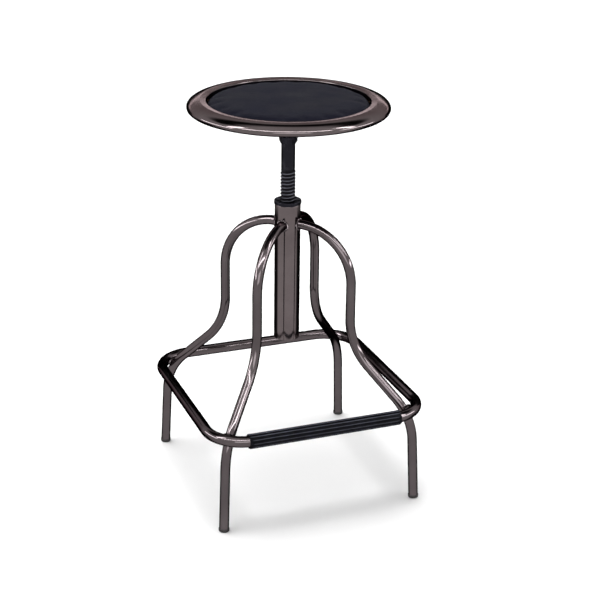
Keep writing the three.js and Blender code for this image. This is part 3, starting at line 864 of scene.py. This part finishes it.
# Weld fillets in the groove between each leg and the ring's corner.
def makeRingWelds():
    s = ringWeldSizes
    reach, slope = legAt(ringHeight)
    cornerReach = (ringHalf - ringSizes["cornerRadius"]) * math.sqrt(2) + ringSizes["cornerRadius"]
    touch = (reach + legSizes["radius"] / math.cos(slope) + cornerReach - ringSizes["radius"]) / 2
    rings = []
    for i in range(s["rows"] + 1):
        lift = math.pi * i / s["rows"] - math.pi / 2
        wide = math.cos(lift)
        ring = []
        for k in range(s["columns"] if 0 < i < s["rows"] else 1):
            spin = 2 * math.pi * k / s["columns"]
            ripple = 1 + 0.05 * math.sin(9 * spin + 5 * lift)
            ring.append(
                (
                    s["depth"] * wide * math.cos(spin) * ripple,
                    s["width"] * wide * math.sin(spin) * ripple,
                    s["height"] * math.sin(lift),
                )
            )
        rings.append(ring)
    mesh = ringMesh("fillet_part", rings)
    mesh.transform(Matrix.Rotation(-slope, 4, "Y"))
    part = makeObject("fillet_part", mesh)
    turnOutward(part.data)
    points = [
        Matrix.Rotation(math.radians(d), 3, "Z") @ Vector((touch, 0, ringHeight)) for d in corners.values()
    ]
    welds = setAround("ring_welds", part, points, finishes["tube"])
    finishPiece(welds, "base", finishes["tube"])


# The thread's height between root and crest, from 0 to 1. Its right-hand ridge starts at z = 0 and angle 0.
def threadRise(angle, height):
    phase = (height / threadSizes["pitch"] - angle / (2 * math.pi)) % 1
    distance = min(phase, 1 - phase)  # 0 on the ridge, 0.5 in the groove
    share = min(max((0.36 - distance) / 0.26, 0), 1)
    return share * share * (3 - 2 * share)


def threadRing(height, fade, extra, segments):
    s = threadSizes
    ring = []
    for k in range(segments):
        angle = 2 * math.pi * k / segments
        radius = s["root"] + extra + (s["crest"] - s["root"]) * fade * threadRise(angle, height)
        ring.append((radius * math.cos(angle), radius * math.sin(angle), height))
    return ring


screwSizes = {
    "threadTop": 0.5951,
    "shank": 0.01245,
    "stud": 0.0097,
    "journal": 0.008,
    "shoulder": 0.42005,
    "boltHole": 0.0053,
    "holeDepth": 0.024,
    "studShoulder": 0.6573,
    "underCollar": 0.02,
    "edge": 0.0006,
    "rootEdge": 0.0008,
    "studEdge": 0.001,
    "runIn": 0.001,
    "fade": 0.0035,
}


def makeScrew():
    s = screwSizes
    low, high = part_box("lift_screw")
    count = threadSizes["segments"]
    below = [
        (0, low.z + s["holeDepth"]),
        (s["boltHole"], low.z + s["holeDepth"]),
        (s["boltHole"], low.z + s["edge"]),
        (s["boltHole"] + s["edge"], low.z),
        (s["journal"] - s["edge"], low.z),
        (s["journal"], low.z + s["edge"]),
        (s["journal"], s["shoulder"]),
        (threadSizes["root"] - s["rootEdge"], s["shoulder"]),
        (threadSizes["root"], s["shoulder"] + s["rootEdge"]),
    ]
    rings = [circleRing(r, z, count) for r, z in below]
    start, end = s["shoulder"] + s["runIn"], s["threadTop"] - s["edge"]
    steps = int((end - start) / threadSizes["pitch"] * threadSizes["perPitch"])
    for i in range(steps + 1):
        height = start + (end - start) * i / steps
        fade = min(1, (height - start) / s["fade"], (end - height) / s["fade"])
        rings.append(threadRing(height, fade, 0, count))
    above = [
        (s["shank"], s["threadTop"] + s["rootEdge"]),
        (s["shank"], s["studShoulder"] - s["underCollar"]),
        (s["shank"], s["studShoulder"]),
        (s["stud"], s["studShoulder"]),
        (s["stud"], high.z - s["studEdge"]),
        (s["stud"] - s["studEdge"], high.z),
        (0, high.z),
    ]
    rings += [circleRing(r, z, count) for r, z in above]
    screw = makeObject("lift_screw_finished", ringMesh("lift_screw_finished", rings))
    finishPiece(screw, "seat", finishes["threadSteel"], ["lift_screw"], 50)


nutSizes = {
    "flange": 0.0245,
    "rounding": 0.0014,
    "underRound": 0.0005,
    "bodyChamfer": 0.0006,
    "runIn": 0.001,
    "bodyGap": 0.00025,
    "threadSink": 0.0004,
    "seatGap": 0.0003,
    "dish": 0.0009,
    "rim": 0.0028,
    "mouth": 0.0009,
}


# The flanged nut in the post's top, with its own thread inside and a shallow dish round the mouth.
def makeNut():
    s = nutSizes
    low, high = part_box("lift_nut")
    body = postHigh.x - postSizes["wall"] - s["bodyGap"]
    seat = postHigh.z + s["seatGap"]
    chamfer, under, rounding = s["bodyChamfer"], s["underRound"], s["rounding"]
    count = threadSizes["segments"]
    extra = s["threadSink"] + threadSizes["clearance"]
    crest = threadSizes["crest"] + extra
    floor = high.z - s["dish"]
    profile = [(crest + chamfer, low.z), (body - chamfer, low.z), (body, low.z + chamfer), (body, seat)]
    profile += arcPoints((s["flange"] - under, seat + under), under, under, -90, 0, 3)
    profile += arcPoints((s["flange"] - rounding, high.z - rounding), rounding, rounding, 0, 90, 8)
    profile += [(s["flange"] - s["rim"], high.z), (s["flange"] - s["rim"] - s["dish"], floor)]
    profile += [(crest + s["mouth"], floor), (crest, floor - s["mouth"])]
    rings = [circleRing(r, z, count) for r, z in profile]
    start, end = low.z + s["runIn"], floor - s["mouth"] - chamfer
    steps = int((end - start) / threadSizes["pitch"] * threadSizes["perPitch"])
    for i in range(steps, -1, -1):
        rings.append(threadRing(start + (end - start) * i / steps, 1, extra, count))
    mesh = ringMesh("lift_nut_finished", rings, True)
    turnOutward(mesh)
    nut = makeObject("lift_nut_finished", mesh)
    finishPiece(nut, "base", finishes["blackSteel"], ["lift_nut"], 50)


collarSizes = {
    "flats": 0.0286,
    "taper": 0.0042,
    "chamfer": 0.0016,
    "chamferDepth": 0.0022,
    "land": 0.0009,
    "gap": 0.00025,
    "segments": 144,
    "levels": 44,
}


# A hex collar: flats cut by a cone above and below, which leaves the scalloped arcs.
def makeCollar():
    s = collarSizes
    low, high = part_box("hex_collar")
    corner = s["flats"] / math.sqrt(3)
    bore = screwSizes["shank"] + s["gap"]
    face = bore + s["land"]
    rings = []
    for i in range(s["levels"] + 1):
        height = low.z + (high.z - low.z) * i / s["levels"]
        up = min((height - low.z) / s["taper"], 1)
        down = min((high.z - height) / s["chamfer"], 1)
        limit = min(face + (corner - face) * up, corner - s["chamferDepth"] * (1 - down))
        ring = []
        for k in range(s["segments"]):
            angle = 2 * math.pi * k / s["segments"]
            offFlat = (angle + math.pi / 6) % (math.pi / 3) - math.pi / 6
            radius = min(s["flats"] / 2 / math.cos(offFlat), limit)
            ring.append((radius * math.cos(angle), radius * math.sin(angle), height))
        rings.append(ring)
    rings += [circleRing(bore, high.z, s["segments"]), circleRing(bore, low.z, s["segments"])]
    collar = makeObject("hex_collar_finished", ringMesh("hex_collar_finished", rings, True))
    finishPiece(collar, "seat", finishes["blackSteel"], ["hex_collar"], 25)


makeLegs()
makeRing()
makeTread()
makeGlides()
makePost()
makePlug()
makePostWelds()
makeRingWelds()
print("base made: legs, ring, tread, glides, post and welds")
makeScrew()
makeNut()
makeCollar()
print("screw made, with its nut and collar")

boltSizes = {
    "count": 4,
    "circle": 0.061,
    "hole": 0.0033,
    "holeGap": 0.0003,
    "head": 0.006,
    "headHeight": 0.004,
    "headRound": 0.0025,
    "socket": 0.0019,
    "socketDepth": 0.0022,
    "socketEdge": 0.0003,
    "tip": 0.0006,
}
boltPlaces = []
for boltIndex in range(boltSizes["count"]):
    boltAngle = 2 * math.pi * (boltIndex + 0.5) / boltSizes["count"]
    boltPlaces.append((boltSizes["circle"] * math.cos(boltAngle), boltSizes["circle"] * math.sin(boltAngle)))

plateSizes = {"thickness": 0.0035, "hole": 0.0100, "hub": 0.029, "slope": 0.62, "bend": 0.006}
drillPast = 0.002  # how far a drill runs past a sheet


# Rounds each inner corner of a line of points with a short arc-like curve.
def rounded(line, reach, steps=6):
    points = [Vector(p) for p in line]
    made = [tuple(points[0])]
    for before, corner, after in zip(points, points[1:], points[2:]):
        cut = min(reach, (before - corner).length / 2.2, (after - corner).length / 2.2)
        start = corner + (before - corner).normalized() * cut
        end = corner + (after - corner).normalized() * cut
        for i in range(steps + 1):
            t = i / steps
            made.append(tuple(start * (1 - t) ** 2 + corner * (2 * t * (1 - t)) + end * t**2))
    made.append(tuple(points[-1]))
    return made


def makePlate():
    s = plateSizes
    low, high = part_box("mount_plate")
    hubTop = low.z + s["thickness"]
    dish = s["hub"] + (high.z - hubTop) * s["slope"]
    line = rounded([(s["hole"], hubTop), (s["hub"], hubTop), (dish, high.z), (high.x, high.z)], s["bend"])
    sheet = turned("mount_plate_finished", closedSheet(line, s["thickness"]), 144, True)
    plate = makeObject("mount_plate_finished", sheet)
    turnOutward(plate.data)
    below = high.z - s["thickness"] - drillPast
    plate = drilled(plate, boltPlaces, boltSizes["hole"], below, high.z + drillPast)
    finishPiece(plate, "seat", finishes["blackSteel"], ["mount_plate"], 30)


panSizes = {
    "sheet": 0.0015,
    "recess": 0.1432,
    "recessDepth": 0.0251,
    "fillet": 0.003,
    "lip": 0.0018,
    "crownInset": 0.0253,
    "crownRise": 0.0009,
    "crownDrop": 0.0128,
    "roll": 0.007,
    "rollTurn": 125,
    "segments": 288,
}


# The spun pan: floor, recess wall, lip, plump rim and an edge rolled under.
def makePan():
    s = panSizes
    low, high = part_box("seat_pan")
    floor = low.z + s["sheet"]
    lip = floor + s["recessDepth"]
    crown = lip + s["crownRise"]
    widest = crown - s["crownDrop"]
    line = [(0, floor), (s["recess"] * 0.5, floor)]
    line += arcPoints((s["recess"] - s["fillet"], floor + s["fillet"]), s["fillet"], s["fillet"], -90, 0, 6)
    line += arcPoints((s["recess"] + s["lip"], lip - s["lip"]), s["lip"], s["lip"], 180, 84, 8)
    line += arcPoints((high.x - s["crownInset"], widest), s["crownInset"], s["crownDrop"], 88, 0, 26)
    line += arcPoints((high.x - s["roll"], widest), s["roll"], s["roll"], 0, -s["rollTurn"], 14)[1:]
    sheet = turned("seat_pan_finished", closedSheet(line, s["sheet"]), s["segments"])
    pan = makeObject("seat_pan_finished", sheet)
    turnOutward(pan.data)
    pan = drilled(pan, boltPlaces, boltSizes["hole"], low.z - drillPast, floor + drillPast)
    finishPiece(pan, "seat", finishes["spun"], ["seat_pan"], 30)


# Pan-head bolts with a hex socket, one mesh for all four.
def makeSeatBolts():
    s = boltSizes
    low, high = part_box("seat_bolt_1")
    headTop, floor = low.z + s["headHeight"], low.z + s["socketDepth"]
    shaft, soft, edge, tip = s["hole"] - s["holeGap"], s["headRound"], s["socketEdge"], s["tip"]
    outline = [(0, floor), (s["socket"], floor), (s["socket"], low.z + edge), (s["socket"] + edge, low.z)]
    outline += arcPoints((s["head"] - soft, low.z + soft), soft, soft, -90, 0, 8)
    outline += [(s["head"], headTop), (shaft, headTop), (shaft, high.z - tip), (shaft - tip, high.z)]
    outline.append((0, high.z))
    part = makeObject("bolt_part", turned("bolt_part", outline, 36))
    points = [Vector((x, y, 0)) for x, y in boltPlaces]
    bolts = setAround("seat_bolts_finished", part, points, finishes["zinc"])
    turnOutward(bolts.data)
    nodes = ["seat_bolt_" + str(i + 1) for i in range(s["count"])]
    finishPiece(bolts, "seat", finishes["zinc"], nodes)


padSizes = {
    "voxel": 0.0045,
    "pressure": 4.0,
    "frames": 20,
    "cap": 0.0022,
    "shrink": 0.0003,
    "edge": 0.0055,
    "foot": 0.001,
    "crown": 0.0032,
    "swellRoom": 0.0014,
    "spill": 0.0004,
    "heldBelow": 0.004,
    "skirt": 0.0012,
    "skirtInset": 0.0002,
    "skirtEdge": 0.0003,
    "pucker": 0.00044,
    "puckers": 5,
    "puckerFrom": 0.86,  # as a share of the radius
    "puckerWidth": 0.12,
    "puckerAbove": 0.014,
}


# The pad's starting shape: a crowned disc with a rounded edge.
def padBlank():
    s = padSizes
    low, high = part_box("pad_cover")
    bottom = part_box("pad_foam")[0].z
    radius = high.x - s["shrink"]
    edgeTop = high.z - s["crown"] - s["swellRoom"]
    foot = s["foot"]
    profile = [(0, bottom), (radius * 0.5, bottom), (radius - foot, bottom), (radius, bottom + foot)]
    profile += arcPoints((radius - s["edge"], edgeTop - s["edge"]), s["edge"], s["edge"], 0, 90, 8)
    inner = radius - s["edge"]
    profile += [(inner * t, edgeTop + s["crown"] * (1 - t**2)) for t in (0.85, 0.7, 0.55, 0.4, 0.25, 0.1)]
    profile.append((0, edgeTop + s["crown"]))
    return turned("pad_blank", profile, 96)


# Swells the blank by cloth pressure, held at its underside.
def swollen(blank):
    s = padSizes
    shape = makeObject("pad_blank", blank)
    remesh = shape.modifiers.new("Remesh", "REMESH")
    remesh.mode = "VOXEL"
    remesh.voxel_size = s["voxel"]
    shape = settled(shape)
    rest = np.empty(len(shape.data.vertices) * 3)
    shape.data.vertices.foreach_get("co", rest)
    rest = rest.reshape(-1, 3)
    held = shape.vertex_groups.new(name="held")
    underside = rest[:, 2].min() + s["heldBelow"]
    held.add([int(i) for i in np.flatnonzero(rest[:, 2] < underside)], 1.0, "REPLACE")
    cloth = shape.modifiers.new("Cloth", "CLOTH")
    cloth.settings.quality = 6
    cloth.settings.mass = 0.25
    cloth.settings.tension_stiffness = 12
    cloth.settings.compression_stiffness = 12
    cloth.settings.bending_stiffness = 0.6
    cloth.settings.use_pressure = True
    cloth.settings.uniform_pressure_force = s["pressure"]
    cloth.settings.vertex_group_mass = "held"
    cloth.settings.effector_weights.gravity = 0
    cloth.point_cache.frame_start = 1
    cloth.point_cache.frame_end = s["frames"]
    for step in range(1, s["frames"] + 1):
        scene.frame_set(step)
    shape = settled(shape)
    scene.frame_set(1)
    return shape, rest


def makePad():
    s = padSizes
    low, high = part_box("pad_cover")
    pad, rest = swollen(padBlank())
    mesh = pad.data
    moved = np.empty(len(mesh.vertices) * 3)
    mesh.vertices.foreach_get("co", moved)
    moved = moved.reshape(-1, 3)
    shift = moved - rest
    length = np.linalg.norm(shift, axis=1)
    length[length < 1e-9] = 1e-9
    placed = rest + shift * (np.minimum(length, s["cap"]) / length)[:, None]
    reach = np.hypot(placed[:, 0], placed[:, 1])
    limit = high.x + s["spill"]
    placed[:, :2] *= np.minimum(1, limit / np.maximum(reach, 1e-6))[:, None]
    for i, point in enumerate(placed):  # stapled cloth draws in slightly towards its edge
        share = min(max((reach[i] / high.x - s["puckerFrom"]) / s["puckerWidth"], 0), 1)
        angle = math.atan2(point[1], point[0])
        pull = noise.noise(Vector((math.cos(angle) * s["puckers"], math.sin(angle) * s["puckers"], seed)))
        if point[2] > low.z + s["puckerAbove"]:
            placed[i, 2] += s["pucker"] * share * pull
    mesh.vertices.foreach_set("co", placed.ravel())
    mesh.update()
    smooth = pad.modifiers.new("Smooth", "SMOOTH")
    smooth.factor = 0.5
    smooth.iterations = 6
    finer = pad.modifiers.new("Finer", "SUBSURF")
    finer.levels = finer.render_levels = 1
    pad.name = "seat_pad"
    pad = settled(pad)
    finishPiece(pad, "seat", finishes["leather"], ["pad_cover", "pad_foam"], 80)


# The cover's edge, drawn down round the board.
def makeSkirt():
    s = padSizes
    low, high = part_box("pad_cover")
    edge = s["skirtEdge"]
    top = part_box("pad_foam")[0].z - edge
    outer, inner = high.x - s["skirtInset"], high.x - s["skirt"]
    line = [(inner, low.z), (outer - edge, low.z), (outer, low.z + edge), (outer, top), (inner, top)]
    skirt = makeObject("pad_skirt", turned("pad_skirt", line, 144, True))
    finishPiece(skirt, "seat", finishes["leather"])


makePlate()
makePan()
makeSeatBolts()
makePad()
makeSkirt()
print("seat made: plate, pan, bolts and pad")

# CAD nodes whose plain shape is right keep it, and only take a finish.
kept = {
    "stop_washer": "zinc",
    "stop_bolt": "zinc",
    "lock_washer": "zinc",
    "top_nut": "zinc",
    "guide_bush": "nylon",
    "seat_board": "plywood",
}
kept.update({"tee_nut_" + str(i + 1): "zinc" for i in range(boltSizes["count"])})
for nodeName, finishName in kept.items():
    keptNode = frame["nodes"][nodeName]
    for keptSlot in keptNode.material_slots:
        keptSlot.material = finishes[finishName]
print("hidden pieces finished:", len(kept))


studio = {
    "floorSize": 14.0,
    "floorColour": (0.93, 0.93, 0.93),
    "sunStrength": 4.4,
    "sunAngle": 46,
    "sunTilt": (-8, -3),
    "aimHeight": 0.45,
    "panelDistance": 2.2,
    "bright": (0.92, 0.89, 0.88),
    "dark": (0.010, 0.009, 0.009),
    "matt": (0.225, 0.225, 0.225),
    "seen": (1.0, 1.0, 1.0),
}


def makeFloor():
    finish, tree, shader, where = startMaterial("pale_floor", **{"Roughness": 0.7, "Specular IOR Level": 0.1})
    shader.inputs["Base Color"].default_value = (*studio["floorColour"], 1)
    size = studio["floorSize"]
    mesh = bpy.data.meshes.new("floor")
    points = [(-size, -size, 0), (size, -size, 0), (size, size, 0), (-size, size, 0)]
    mesh.from_pydata(points, [], [(0, 1, 2, 3)])
    mesh.materials.append(finish)
    floor = makeObject("floor", mesh)
    floor.visible_glossy = False  # polished metal sees the room's own tones below it


# A point at a distance from the object, turned right of the camera's side by some degrees, with a rise.
def towards(turn, rise, distance):
    angle = cameraView["azimuth"] + math.radians(turn)
    flat = distance * math.cos(math.radians(rise))
    return Vector((math.sin(angle) * flat, -math.cos(angle) * flat, distance * math.sin(math.radians(rise))))


panels = {
    "front_high": {"turn": -4, "rise": 47, "size": (4.2, 0.2), "radiance": 15},
    "left_high": {"turn": -68, "rise": 42, "size": (0.3, 1.2), "radiance": 13},
    "right_high": {"turn": 74, "rise": 40, "size": (0.3, 1.2), "radiance": 13},
    "left_low": {"turn": -84, "rise": 12, "size": (1.8, 0.26), "radiance": 11},
    "right_low": {"turn": 80, "rise": 11, "size": (1.8, 0.24), "radiance": 11},
    "back_strip": {"turn": 180, "rise": 20, "size": (3.0, 0.07), "radiance": 6},
    "front_low": {"turn": 4, "rise": 14, "size": (1.6, 0.8), "radiance": 2.4},
}


# A dark card behind the object, which only polished surfaces see.
cardSizes = {"distance": 1.0, "half": 1.3, "low": 0.28, "high": 0.90}


def makeCard():
    s = cardSizes
    middle, along = towards(180, 0, s["distance"]), towards(90, 0, s["half"])
    ends = (middle - along, middle + along)
    points = [(e.x, e.y, z) for z in (s["low"], s["high"]) for e in ends]
    mesh = bpy.data.meshes.new("dark_card")
    mesh.from_pydata(points, [], [(0, 1, 3, 2)])
    finish, tree, shader, where = startMaterial("dark_card", **{"Roughness": 0.9, "Specular IOR Level": 0.0})
    shader.inputs["Base Color"].default_value = (0.01, 0.01, 0.01, 1)
    mesh.materials.append(finish)
    card = makeObject("dark_card", mesh)
    card.visible_camera = card.visible_diffuse = card.visible_shadow = False


def makeLights():
    aim = Vector((0, 0, studio["aimHeight"]))
    for name, panel in panels.items():
        light = bpy.data.lights.new(name, "AREA")
        light.shape = "RECTANGLE"
        light.size, light.size_y = panel["size"]
        light.energy = panel["radiance"] * math.pi * light.size * light.size_y
        made = bpy.data.objects.new(name, light)
        scene.collection.objects.link(made)
        offset = towards(panel["turn"], panel["rise"], studio["panelDistance"])
        made.location = aim + offset
        made.rotation_euler = (-offset).to_track_quat("-Z", "Y").to_euler()
        made.visible_camera = False
        made.visible_diffuse = False
    light = bpy.data.lights.new("overhead", "SUN")
    light.energy = studio["sunStrength"]
    light.angle = math.radians(studio["sunAngle"])
    overhead = bpy.data.objects.new("overhead", light)
    scene.collection.objects.link(overhead)
    overhead.rotation_euler = (*(math.radians(tilt) for tilt in studio["sunTilt"]), 0)
    overhead.visible_glossy = False


# Where the dark wall fades in and out: how far a direction points to the back, and how high it points.
roomBands = {
    "wallStarts": (-0.06, 0.16),
    "lowEnds": (-0.32, -0.12),
    "highStarts": (0.60, 0.70),
    "highEnds": (0.84, 0.95),
}


# A bright room with a dark wall at its back, low down and high up, which draws dark edges on polished tubes.
def makeWorld():
    world = bpy.data.worlds.new("studio")
    world.use_nodes = True
    tree = world.node_tree
    back = tree.nodes["Background"]
    rays = addNode(tree, "ShaderNodeLightPath").outputs
    way = addNode(tree, "ShaderNodeTexCoord").outputs["Generated"]
    behind = addNode(tree, "ShaderNodeVectorMath", {0: way, 1: towards(180, 0, 1)}, operation="DOT_PRODUCT")
    height = addNode(tree, "ShaderNodeSeparateXYZ", {0: way}).outputs[2]
    wall = ranged(tree, behind.outputs["Value"], *roomBands["wallStarts"], 0, 1)
    low = ranged(tree, height, *roomBands["lowEnds"], 1, 0)
    starts = ranged(tree, height, *roomBands["highStarts"], 0, 1)
    ends = ranged(tree, height, *roomBands["highEnds"], 1, 0)
    high = combined(tree, "MULTIPLY", starts, ends)
    dim = combined(tree, "MULTIPLY", wall, combined(tree, "MAXIMUM", low, high))
    room = mixedColour(tree, dim, studio["bright"], studio["dark"])
    soft = mixedColour(tree, rays["Is Diffuse Ray"], room, studio["matt"])
    tree.links.new(mixedColour(tree, rays["Is Camera Ray"], soft, studio["seen"]), back.inputs["Color"])
    scene.world = world


cameraView = {
    "azimuth": math.radians(-20.63),
    "elevation": math.radians(22.10),
    "distance": 2.8,
    "aimHeight": 0.3448,
    "lens": 92.04,
    "shift": 0.022,
    "roll": math.radians(0.55),
}


def makeCamera():
    v = cameraView
    flat = math.cos(v["elevation"])
    back = Vector((math.sin(v["azimuth"]) * flat, -math.cos(v["azimuth"]) * flat, math.sin(v["elevation"])))
    data = bpy.data.cameras.new("camera")
    data.lens = v["lens"]
    data.sensor_width = 36
    data.shift_x = v["shift"]
    data.clip_end = 60
    camera = bpy.data.objects.new("camera", data)
    scene.collection.objects.link(camera)
    camera.location = Vector((0, 0, v["aimHeight"])) + back * v["distance"]
    look = (-back).to_track_quat("-Z", "Y").to_matrix().to_4x4()
    camera.rotation_euler = (look @ Matrix.Rotation(v["roll"], 4, "Z")).to_euler()
    scene.camera = camera


makeFloor()
makeCard()
makeLights()
makeWorld()
makeCamera()
scene.view_settings.view_transform = "Standard"
print("studio made")
